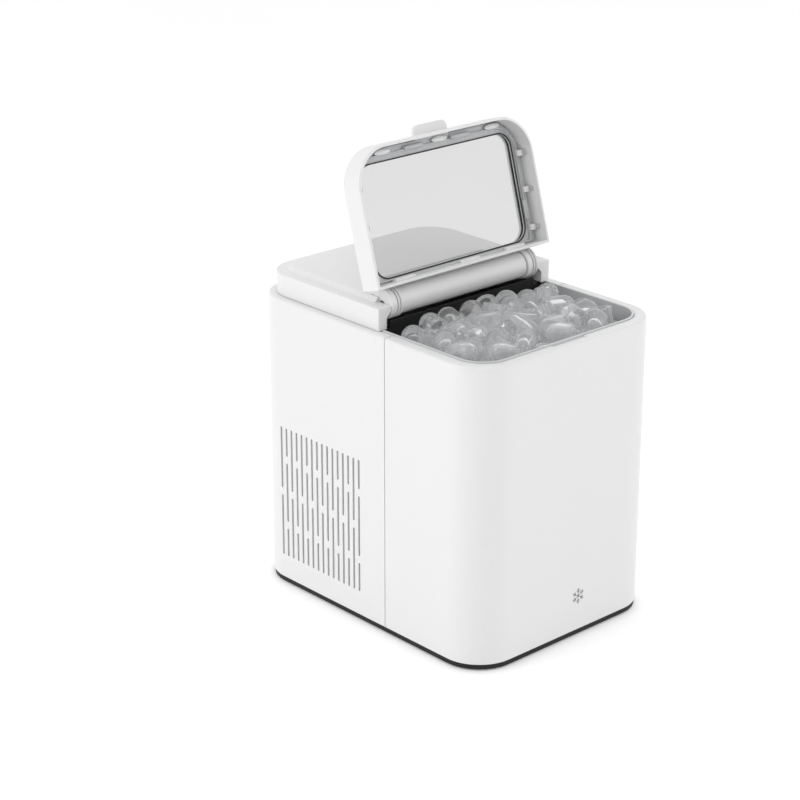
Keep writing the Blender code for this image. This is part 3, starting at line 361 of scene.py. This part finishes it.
# ---- Ice basket ---------------------------------------------------------------------------
# The basket that catches the ice lifts straight out. It is moulded in light grey plastic,
# with drain slots in its floor and sides.
dressed("ice_basket", liner_grey, "basket", 0.0004)


# ---- Ice ----------------------------------------------------------------------------------
# The machine freezes hollow bullets of ice round its cold fingers: about 23 mm across and
# 32 mm long, open at one end. They heap up over the basket's brim. Only what can be seen from
# above is made: the lowest 56 mm of the basket hold none.
ice = finish_of("ice", (0.80, 0.81, 0.82), (0.96, 0.965, 0.97), 0.05, 110, 0.0006)
shader_of(ice)["Transmission Weight"].default_value = 0.90
# The faint white emission is painted light: a glow standing in for light scattered inside the ice.
shader_of(ice)["Emission Color"].default_value = (1, 1, 1, 1)
shader_of(ice)["Emission Strength"].default_value = 0.03
shader_of(ice)["IOR"].default_value = 1.31
bullet_r, bullet_len = 0.0112, 0.034
count = 190
empty_depth = 0.056
heap_top = 0.2915
side_gap = 0.0022
brim_spread = 0.0080
snug, give, sink = 0.93, 0.24, 0.00012
basket_low, basket_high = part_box("ice_basket")
rng = np.random.default_rng(7)
low = np.array([basket_low.x, basket_low.y, basket_low.z + empty_depth]) + bullet_r + side_gap
high = np.array([basket_high.x, basket_high.y, heap_top]) - bullet_r - side_gap
centres = low + (high - low) * rng.random((count, 3)) ** (1, 1, 0.92)
lean = rng.normal(size=(count, 3))
lean /= np.linalg.norm(lean, axis=1)[:, None]
reach = bullet_len - 2 * bullet_r
ends = np.stack([centres - lean * reach / 2, centres + lean * reach / 2], 1).astype(np.float32)
owner = np.tile(np.arange(count), 3)
others = (owner[:, None] != owner[None]).astype(np.float32)
for step in range(220):
    ends[:, :, 2] -= sink
    for settle in range(3):
        balls = np.concatenate([ends[:, 0], ends[:, 1], ends.mean(1)])
        gap = balls[:, None] - balls[None]
        far = np.sqrt((gap * gap).sum(2)) + 1e-9
        over = np.clip(2 * bullet_r * snug - far, 0, None) * others
        push = (gap * (over / far)[:, :, None]).sum(1) * give
        ends[:, 0] += push[:count] + push[2 * count:] / 2
        ends[:, 1] += push[count:2 * count] + push[2 * count:] / 2
        axis = ends[:, 1] - ends[:, 0]
        middle = ends.mean(1)
        axis *= reach / np.linalg.norm(axis, axis=1)[:, None]
        ends = np.stack([middle - axis / 2, middle + axis / 2], 1)
        lowest = ends[:, :, 2].min(1)[:, None]
        spread = brim_spread * np.clip((lowest - basket_high.z - 0.004) / 0.005, 0, 1)
        ends[:, :, 0] = np.clip(ends[:, :, 0], low[0] - spread, high[0] + spread)
        ends[:, :, 1] = np.clip(ends[:, :, 1], low[1] - spread, high[1])
        ends[:, :, 2] = np.clip(ends[:, :, 2], low[2], high[2])

heap = bmesh.new()
sides = 18
mouth = -0.0155
basket_wall = 0.0024
basket_corner_r = 0.0300
lid_clearance_z = 0.2922
liner_low, liner_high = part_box("bin_liner")
for a, b in ends:
    axis = Vector(b - a).normalized()
    centre = Vector((a + b) / 2)
    width = bullet_r * (0.94 + 0.10 * rng.random())
    tip = bullet_len / 2 * (0.94 + 0.08 * rng.random())
    bore = width * (0.50 + 0.12 * rng.random())
    section = [(0.0, tip)]
    section += [(width * math.sin(t), tip - width * (1 - math.cos(t)))
                for t in (math.radians(d) for d in (18, 36, 54, 72, 90))]
    section += [(width * 1.01, -0.004), (width * 1.02, mouth + 0.0014),
                (width * 0.97, mouth + 0.0002), (width * 0.88, mouth),
                (bore + 0.0005, mouth), (bore, mouth + 0.0008), (bore * 0.92, 0.0035),
                (bore * 0.70, 0.0065), (bore * 0.35, 0.0080), (0.0, 0.0084)]
    turn = Matrix.Translation(centre) @ axis.to_track_quat("Z", "Y").to_matrix().to_4x4()
    rings = [[turn @ Vector((r * math.cos(k), r * math.sin(k), h))
              for k in ((i * 2 * math.pi / sides for i in range(sides)) if r else (0.0,))]
             for r, h in section]
    every = [p for ring in rings for p in ring]
    over = min(p.z for p in every) > basket_high.z + 0.0005
    x_limit = liner_high.x - 0.0095 if over else basket_high.x - basket_wall
    y_limit = liner_low.y + 0.0085 if over else basket_low.y + basket_wall
    shift = Vector((0, 0, min(0.0, lid_clearance_z - max(p.z for p in every))))
    for nudge in range(4):
        xs, ys = [p.x + shift.x for p in every], [p.y + shift.y for p in every]
        shift.x += max(0.0, -x_limit - min(xs)) - max(0.0, max(xs) - x_limit)
        shift.y += max(0.0, y_limit - min(ys)) - max(0.0, max(ys) - basket_high.y + basket_wall)
        for side in (-1, 1):
            hub = Vector((side * (x_limit - basket_corner_r), y_limit + basket_corner_r))
            out = [Vector((p.x + shift.x, p.y + shift.y)) - hub for p in every]
            out = [d for d in out if d.x * side > 0 and d.y < 0]
            furthest = max(out, key=lambda d: d.length, default=None)
            if furthest and furthest.length > basket_corner_r:
                back = furthest.normalized() * (furthest.length - basket_corner_r)
                shift -= Vector((back.x, back.y, 0))
    rings = [[heap.verts.new(p + shift) for p in ring] for ring in rings]
    for one, two in zip(rings, rings[1:]):
        for i in range(sides):
            j = (i + 1) % sides
            if len(one) == 1:
                heap.faces.new((one[0], two[i], two[j]))
            elif len(two) == 1:
                heap.faces.new((one[i], one[j], two[0]))
            else:
                heap.faces.new((one[i], two[i], two[j], one[j]))
placed("ice", heap, ice, "basket", angle=60)


# ---- Ice mechanism ------------------------------------------------------------------------
# Nine aluminium fingers hang from the evaporator into a tilting tray of water. A small motor
# tips the tray, and the shovel that swings with it pushes the new ice into the basket.
aluminium = finish_of("aluminium", (0.60, 0.61, 0.62), (0.74, 0.75, 0.76), 0.34, 400, 0.00002,
                      1.0, (1, 1, 12))
copper = finish_of("copper", (0.55, 0.27, 0.17), (0.74, 0.40, 0.26), 0.30, 260, 0.00001, 1.0)
dressed("evaporator", aluminium, "casing", 0.0003)
dressed("evaporator_tube", copper, "casing", 0.0)
dressed("water_tray", liner_grey, "tray", 0.0003)
dressed("tray_motor", black_plastic, "casing", 0.0006)
dressed("tray_bearing", black_plastic, "casing", 0.0006)
dressed("ice_shovel", liner_grey, "shovel", 0.0003)
for side in ("left", "right"):
    dressed("shovel_bracket_" + side, black_plastic, "casing", 0.0004)
    dressed("ice_sensor_" + side, black_plastic, "casing", 0.0006)


# ---- Housing behind the bin ---------------------------------------------------------------
# A black partition stands across the back of the bin under the rolled nose. The ice comes
# through its wide window.
dressed("ice_housing", black_plastic, "casing", 0.0005)


# ---- Refrigeration ------------------------------------------------------------------------
# A canned compressor on rubber grommets drives the cooling circuit: a finned condenser behind
# the grille with a fan that draws air through it, a filter drier, and copper lines. The
# condenser's fins are coloured dark grey as painted shade in the grille slots. A dark rubber
# strip between the condenser and the bin's insulation is painted shade as well: it hides the
# white insulation behind the slots.
enamel = finish_of("black_enamel", (0.010, 0.010, 0.011), (0.018, 0.018, 0.020), 0.25, 150, 0.00005)
dressed("compressor", enamel, "casing", 0.0)
dressed("compressor_plate", steel, "casing", 0.0003)
for corner in ("front_left", "front_right", "rear_left", "rear_right"):
    dressed("grommet_" + corner, rubber, "casing", 0.0)
# The fins are coloured dark grey as painted shade in the grille slots.
fins_painted_shade = finish_of("condenser_fins_painted_shade", (0.10, 0.10, 0.105), (0.17, 0.17, 0.175), 0.5, 300, 0.00002, 0.6)
dressed("condenser", fins_painted_shade, "casing", 0.0)
# A dark rubber strip, painted shade: it hides the white insulation seen through the grille slots.
shade_strip_low, shade_strip_high = (-0.1040, -0.0015, 0.0270), (-0.0968, 0.0112, 0.1580)
strip = box_mesh(shade_strip_low[0], shade_strip_high[0], shade_strip_low[1], shade_strip_high[1], shade_strip_low[2], shade_strip_high[2],
                 0.0008)
placed("painted_shade_strip", strip, rubber, "casing")
dressed("condenser_tube", copper, "casing", 0.0)
dressed("fan_shroud", black_plastic, "casing", 0.0004)
dressed("fan_motor", black_plastic, "casing", 0.0)
dressed("fan_rotor", black_plastic, "fan", 0.0)
dressed("filter_drier", copper, "casing", 0.0)
dressed("suction_line", copper, "casing", 0.0)
dressed("discharge_line", copper, "casing", 0.0)


# ---- Water circuit ------------------------------------------------------------------------
# A small pump lifts water from the bin to the tray through a silicone hose. A second hose
# runs to the drain at the back, which a rubber plug closes. The hoses are coloured dark grey
# as painted shade behind the grille.
silicone = finish_of("silicone", (0.16, 0.165, 0.17), (0.21, 0.215, 0.22), 0.35, 500)
dressed("water_pump", black_plastic, "casing", 0.0005)
dressed("pump_hose", silicone, "casing", 0.0)
dressed("drain_hose", silicone, "casing", 0.0)
dressed("drain_fitting", liner_grey, "casing", 0.0004)
dressed("drain_plug", rubber, "plug", 0.0)


# ---- Electrics ----------------------------------------------------------------------------
# The main board sits on a folded steel bracket by the back wall, the small board under the
# buttons, and a flush mains socket low in the rear shell.
board_green = finish_of("green_board", (0.02, 0.13, 0.06), (0.03, 0.19, 0.09), 0.45, 700)
dressed("board_bracket", steel, "casing", 0.0002)
dressed("main_board", board_green, "casing", 0.0)
dressed("control_board", board_green, "casing", 0.0)
dressed("power_inlet", black_plastic, "casing", 0.0004)


# ---- Rear cover ---------------------------------------------------------------------------
# The white moulded cover over the mechanism has a flat ledge and a raised field. Its front
# ends in a rolled nose between two cheeks, and the hinge shaft runs through it.
dressed("rear_cover", white_abs, "casing", 0.0008, 3)
dressed("hinge_shaft", steel, "casing", 0.0)


# ---- Control panel ------------------------------------------------------------------------
# A grey panel is let into the raised field, with two round push buttons and five small
# indicator windows between them.
panel_grey = finish_of("panel_grey", (0.40, 0.41, 0.42), (0.45, 0.46, 0.47), 0.36, 1200)
dressed("control_panel", panel_grey, "casing", 0.0004)
for button in ("power_button", "select_button"):
    dressed(button, white_abs, button, 0.0003)
panel_low, panel_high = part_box("control_panel")
panel_y = (panel_low.y + panel_high.y) / 2
lamp = finish_of("lamp_window", (0.60, 0.66, 0.70), (0.70, 0.75, 0.78), 0.2, 800)
lamp_pitch = 0.011
for i in range(5):
    spot = Matrix.Translation(((i - 2) * lamp_pitch, panel_y, panel_high.z + 0.0002))
    bm = bmesh.new()
    bmesh.ops.create_cone(bm, cap_ends=True, segments=20, radius1=0.0013, radius2=0.0011,
                          depth=0.0005, matrix=spot)
    placed(f"indicator_{i + 1}", bm, lamp, "casing")


# ---- Lid ----------------------------------------------------------------------------------
# The lid is a white moulded tray turned over: a 2.5 mm top with a wide window opening, walls
# 20 mm deep, a finger tab, and two ribbed knuckles that turn on the shaft.
hinge = Vector((0, -0.003, 0.2965))
open_lid = Matrix.Translation(hinge) @ Matrix.Rotation(math.radians(-106), 4, "X")
lid_half = 0.1035
lid_front, lid_back = -0.1335, -0.0140
lid_top, lid_low = 0.0055, -0.0173
lid_r = 0.036
lid_plan = plan(-lid_half, lid_half, lid_front, lid_back, (lid_r, lid_r, 0.0006, 0.0006), 20)
outside = ([(0.0006, lid_low), (0.0, lid_low + 0.0006)]
           + bend(0.0030, lid_top - 0.0030, 0.0030, 180, 90, 8))
bm = swept(lid_plan, outside, closed=False)
lid = placed("lid_tray", bm, white_abs, "lid")
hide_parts("lid_frame")
hollow = ([(wall, lid_low - 0.01), (wall, lid_top - wall - 0.0015)]
          + bend(wall + 0.0015, lid_top - wall - 0.0015, 0.0015, 180, 90, 4))
carve(lid, swept(lid_plan, hollow, closed=False))
window_plan = plan(-0.0905, 0.0905, -0.1185, -0.0200, (0.014,) * 4, 12)
carve(lid, swept(window_plan, [(0.0, lid_top - 0.02), (0.0, lid_top + 0.02)], closed=False))
tab_half, tab_reach = 0.020, 0.0085
tab_plan = plan(-tab_half, tab_half, lid_front - tab_reach, lid_front + 0.012,
                (0.006, 0.006, 0.001, 0.001), 6)
tab_section = [(0.0003, -0.0021), (0.0, -0.0016), (0.0, 0.0006), (0.0003, 0.0011)]
tab = placed("lid_tab", swept(tab_plan, tab_section, closed=False), white_abs, "lid")
lid.data.transform(open_lid)
tab.data.transform(open_lid)
eased(lid, 0.0004)


def ring_of(section, sides):
    """A bmesh of a section of (x, radius) points turned right round the hinge axis."""
    bm = bmesh.new()
    turns = [math.radians(360 * i / sides) for i in range(sides)]
    rings = [[bm.verts.new((x, r * math.cos(a), r * math.sin(a))) for x, r in section]
             for a in turns]
    for one, two in zip(rings, rings[1:] + rings[:1]):
        for i in range(len(section)):
            j = (i + 1) % len(section)
            bm.faces.new((one[i], one[j], two[j], two[i]))
    return bm


def ribbed(left):
    """Section of a knuckle that starts at x = left: one broad rib and two narrow ones."""
    outer, bottom, inner = 0.0135, 0.0106, 0.0034
    section = [(left, inner), (left, outer - 0.0006), (left + 0.0006, outer)]
    for rib_end, next_rib in ((0.0058, 0.0074), (0.0090, 0.0106)):
        section += [(left + rib_end - 0.0003, outer), (left + rib_end, outer - 0.0003),
                    (left + rib_end, bottom), (left + next_rib, bottom),
                    (left + next_rib, outer - 0.0003), (left + next_rib + 0.0003, outer)]
    section += [(left + 0.0124, outer), (left + 0.0130, outer - 0.0006), (left + 0.0130, inner)]
    return section


def on_lid(name, bm, finish, angle=32):
    """A piece of the lid, made with the lid shut about its hinge and then opened with it."""
    return placed(name, bm, finish, "lid", angle, open_lid)


for side, left in (("left", -0.0885), ("right", 0.0755)):
    on_lid("knuckle_" + side, ring_of(ribbed(left), 72), white_abs)
    arm = box_mesh(left + 0.0004, left + 0.0126, lid_back - 0.001, -0.0058, -0.0048, 0.0038,
                   0.0004)
    on_lid("knuckle_arm_" + side, arm, white_abs)


# ---- Window -------------------------------------------------------------------------------
# A clear 2 mm pane lies on a thin dark seal under the lid's opening. A translucent grey frame
# clips in behind it and covers the pane's edge.
clear = finish_of("clear_plastic", (0.10, 0.10, 0.10), (0.12, 0.12, 0.12), 0.04, 40, 0.000002)
shader_of(clear)["Alpha"].default_value = 0.18
smoke = finish_of("smoke_plastic", (0.62, 0.63, 0.64), (0.68, 0.69, 0.70), 0.30, 500)
shader_of(smoke)["Transmission Weight"].default_value = 0.25
dressed("lid_window", clear, "lid", 0.0003)
dressed("lid_seal", rubber, "lid", 0.0)
dressed("window_frame", smoke, "lid", 0.0003)

# A thin dark rubber bead round the opening's edge is painted shade: the dark line of the groove
# between the frame and the lid.
groove_shade_plan = plan(-0.0899, 0.0899, -0.1179, -0.0206, (0.0134,) * 4, 12)
groove_shade_section = [(0.0, -0.0022), (0.0, -0.0029), (-0.0005, -0.0031), (-0.0012, -0.0031),
                (-0.0012, -0.0022)]
on_lid("window_groove_shade", swept(groove_shade_plan, groove_shade_section), rubber)
rail_plan = plan(-0.0945, 0.0945, -0.1245, -0.0180, (0.022, 0.022, 0.004, 0.004), 14)
rail_section = [(0.0, -0.0022), (0.0, -0.0040), (0.0002, -0.0042), (0.0010, -0.0042),
                (0.0012, -0.0040), (0.0012, -0.0022)]
on_lid("window_rail", swept(rail_plan, rail_section), smoke)


# ---- Window clips -------------------------------------------------------------------------
# White snap clips hold the window frame: three blocks down the right wall, three lens-shaped
# ones along the front, small dark ones on the left, and tabs along the hinge side.
for number, along in enumerate((0.0976, 0.0646, 0.0299)):
    clip = box_mesh(0.0940, 0.0990, -along - 0.0027, -along + 0.0027, -0.0075, -0.0020, 0.0006)
    on_lid(f"side_clip_{number + 1}", clip, white_abs)
    pocket = box_mesh(0.0990, 0.1010, -along - 0.0022, -along + 0.0022, -0.0105, -0.0040, 0.0003)
    on_lid(f"side_pocket_{number + 1}", pocket, smoke)
latch = box_mesh(0.0915, 0.0965, -0.0555, -0.0380, -0.0048, -0.0022, 0.0006)
on_lid("side_latch", latch, smoke)
lens_size = Matrix.Diagonal((0.0095, 0.0026, 0.0022, 1))
for number, x in enumerate((-0.0603, 0.0063, 0.0704)):
    bm = bmesh.new()
    bmesh.ops.create_uvsphere(bm, u_segments=24, v_segments=12, radius=1.0,
                              matrix=Matrix.Translation((x, -0.1262, -0.0040)) @ lens_size)
    on_lid(f"front_clip_{number + 1}", bm, white_abs, 60)
for number, (x0, x1) in enumerate(((-0.036, -0.014), (0.019, 0.041))):
    pocket = box_mesh(x0, x1, -0.1268, -0.1232, -0.0060, -0.0022, 0.0008)
    on_lid(f"front_pocket_{number + 1}", pocket, smoke)
for number, along in enumerate((0.0993, 0.0666)):
    catch = box_mesh(-0.0925, -0.0895, -along - 0.0025, -along + 0.0025, -0.0040, -0.0022, 0.0004)
    on_lid(f"dark_clip_{number + 1}", catch, rubber)
for number, x in enumerate((-0.0639, 0.0136, 0.0694)):
    tab = box_mesh(x - 0.0115, x + 0.0115, -0.0185, -0.0150, -0.0085, -0.0020, 0.0006)
    on_lid(f"hinge_tab_{number + 1}", tab, white_abs)
for number, (x0, x1) in enumerate(((-0.0520, 0.0018), (0.0255, 0.0575))):
    strip = box_mesh(x0, x1, -0.0185, -0.0155, -0.0055, -0.0022, 0.0004)
    on_lid(f"hinge_strip_{number + 1}", strip, smoke)


# ---- Emblem -------------------------------------------------------------------------------
# A small snowflake in dark grey is printed on the front, low on the right.
ink = finish_of("dark_print", (0.10, 0.10, 0.11), (0.14, 0.14, 0.15), 0.4, 900)
bm = bmesh.new()
emblem_x, emblem_z, arm_len, line = 0.012, 0.039, 0.0075, 0.00055
print_proud, print_sunk = 0.00008, 0.0001
centre = Vector((emblem_x, 0, emblem_z))
for k in range(6):
    spin = Matrix.Rotation(k * math.pi / 3, 4, "Y")
    strokes = [((0, 0), (0, arm_len))]
    for up, out in ((0.45, 0.26), (0.70, 0.18)):
        strokes += [((0, arm_len * up), (side * arm_len * out, arm_len * (up + out)))
                    for side in (-1, 1)]
    for (xa, za), (xb, zb) in strokes:
        run = Vector((xb - xa, zb - za))
        across = Vector((-run.y, run.x)).normalized() * line / 2
        ring = [(xa + across.x, za + across.y), (xa - across.x, za - across.y),
                (xb - across.x, zb - across.y), (xb + across.x, zb + across.y)]
        near = [bm.verts.new(centre + spin @ Vector((x, -half_d - print_proud, z)))
                for x, z in ring]
        back = [bm.verts.new(centre + spin @ Vector((x, -half_d + print_sunk, z)))
                for x, z in ring]
        bm.faces.new(near)
        bm.faces.new(back[::-1])
        for i in range(4):
            j = (i + 1) % 4
            bm.faces.new((near[i], near[j], back[j], back[i]))
placed("emblem", bm, ink, "casing")


# ---- Studio -------------------------------------------------------------------------------
# A plain pale floor and soft light from all round, lower towards the machine's front left
# corner, so that its two sides read apart. The backdrop itself is plain white.
floor_white = finish_of("floor_white", (0.90, 0.90, 0.90), (0.92, 0.92, 0.92), 0.6, 3, 0.0)
shader_of(floor_white)["Emission Color"].default_value = (1, 1, 1, 1)
shader_of(floor_white)["Emission Strength"].default_value = 0.20
bm = bmesh.new()
bmesh.ops.create_grid(bm, x_segments=1, y_segments=1, size=6.0)
floor_mesh = bpy.data.meshes.new("floor")
bm.to_mesh(floor_mesh)
bm.free()
floor = bpy.data.objects.new("floor", floor_mesh)
floor_mesh.materials.append(floor_white)
bpy.context.scene.collection.objects.link(floor)

world = bpy.data.worlds.new("studio")
bpy.context.scene.world = world
world.use_nodes = True
sky = world.node_tree
place = sky.nodes.new("ShaderNodeTexCoord")
facing = sky.nodes.new("ShaderNodeVectorMath")
facing.operation = "DOT_PRODUCT"
facing.inputs[1].default_value = (-0.66, -0.74, 0.10)
sky.links.new(place.outputs["Generated"], facing.inputs[0])
fade = sky.nodes.new("ShaderNodeValToRGB")
fade.color_ramp.elements[0].position = 0.05
fade.color_ramp.elements[0].color = (1.0, 1.0, 1.0, 1)
fade.color_ramp.elements[1].position = 0.95
fade.color_ramp.elements[1].color = (0.30, 0.30, 0.30, 1)
sky.links.new(facing.outputs["Value"], fade.inputs["Fac"])
sky.links.new(fade.outputs["Color"], sky.nodes["Background"].inputs["Color"])
sky.nodes["Background"].inputs["Strength"].default_value = 0.98
backdrop = sky.nodes.new("ShaderNodeBackground")
backdrop.inputs["Color"].default_value = (1.0, 1.0, 1.0, 1)
backdrop.inputs["Strength"].default_value = 1.0
rays = sky.nodes.new("ShaderNodeLightPath")
either = sky.nodes.new("ShaderNodeMixShader")
sky.links.new(rays.outputs["Is Camera Ray"], either.inputs["Fac"])
sky.links.new(sky.nodes["Background"].outputs["Background"], either.inputs[1])
sky.links.new(backdrop.outputs["Background"], either.inputs[2])
sky.links.new(either.outputs["Shader"], sky.nodes["World Output"].inputs["Surface"])

for name, spot, aim, size, power in (
        ("key_left", (-2.4, 0.9, 1.2), (0, 0, 0.15), 1.6, 17),
        ("fill_right", (1.9, -2.2, 0.9), (0, 0, 0.15), 1.6, 8),
        ("lid_front", (-1.3, -1.5, 1.4), (0, 0, 0.36), 0.5, 5),
        ("top_front", (-0.5, -1.5, 2.6), (0, 0, 0.25), 1.4, 7)):
    lamp_data = bpy.data.lights.new(name, "AREA")
    lamp_data.size = size
    lamp_data.energy = power
    lamp_object = bpy.data.objects.new(name, lamp_data)
    lamp_object.location = spot
    lamp_object.rotation_euler = (Vector(aim) - Vector(spot)).to_track_quat("-Z", "Y").to_euler()
    bpy.context.scene.collection.objects.link(lamp_object)

bpy.context.scene.view_settings.view_transform = "Standard"


# ---- Camera -------------------------------------------------------------------------------
# A 100 mm lens two metres off, to the machine's front left and about 21 degrees above level.
eye = bpy.data.cameras.new("camera")
eye.lens = 100.155
eye.sensor_width = 36
camera = bpy.data.objects.new("camera", eye)
camera.location = (-1.2902, -1.3447, 0.9121)
camera.rotation_euler = (math.radians(68.663), 0, math.radians(-42.333))
bpy.context.scene.collection.objects.link(camera)
bpy.context.scene.camera = camera

bpy.context.view_layer.update()
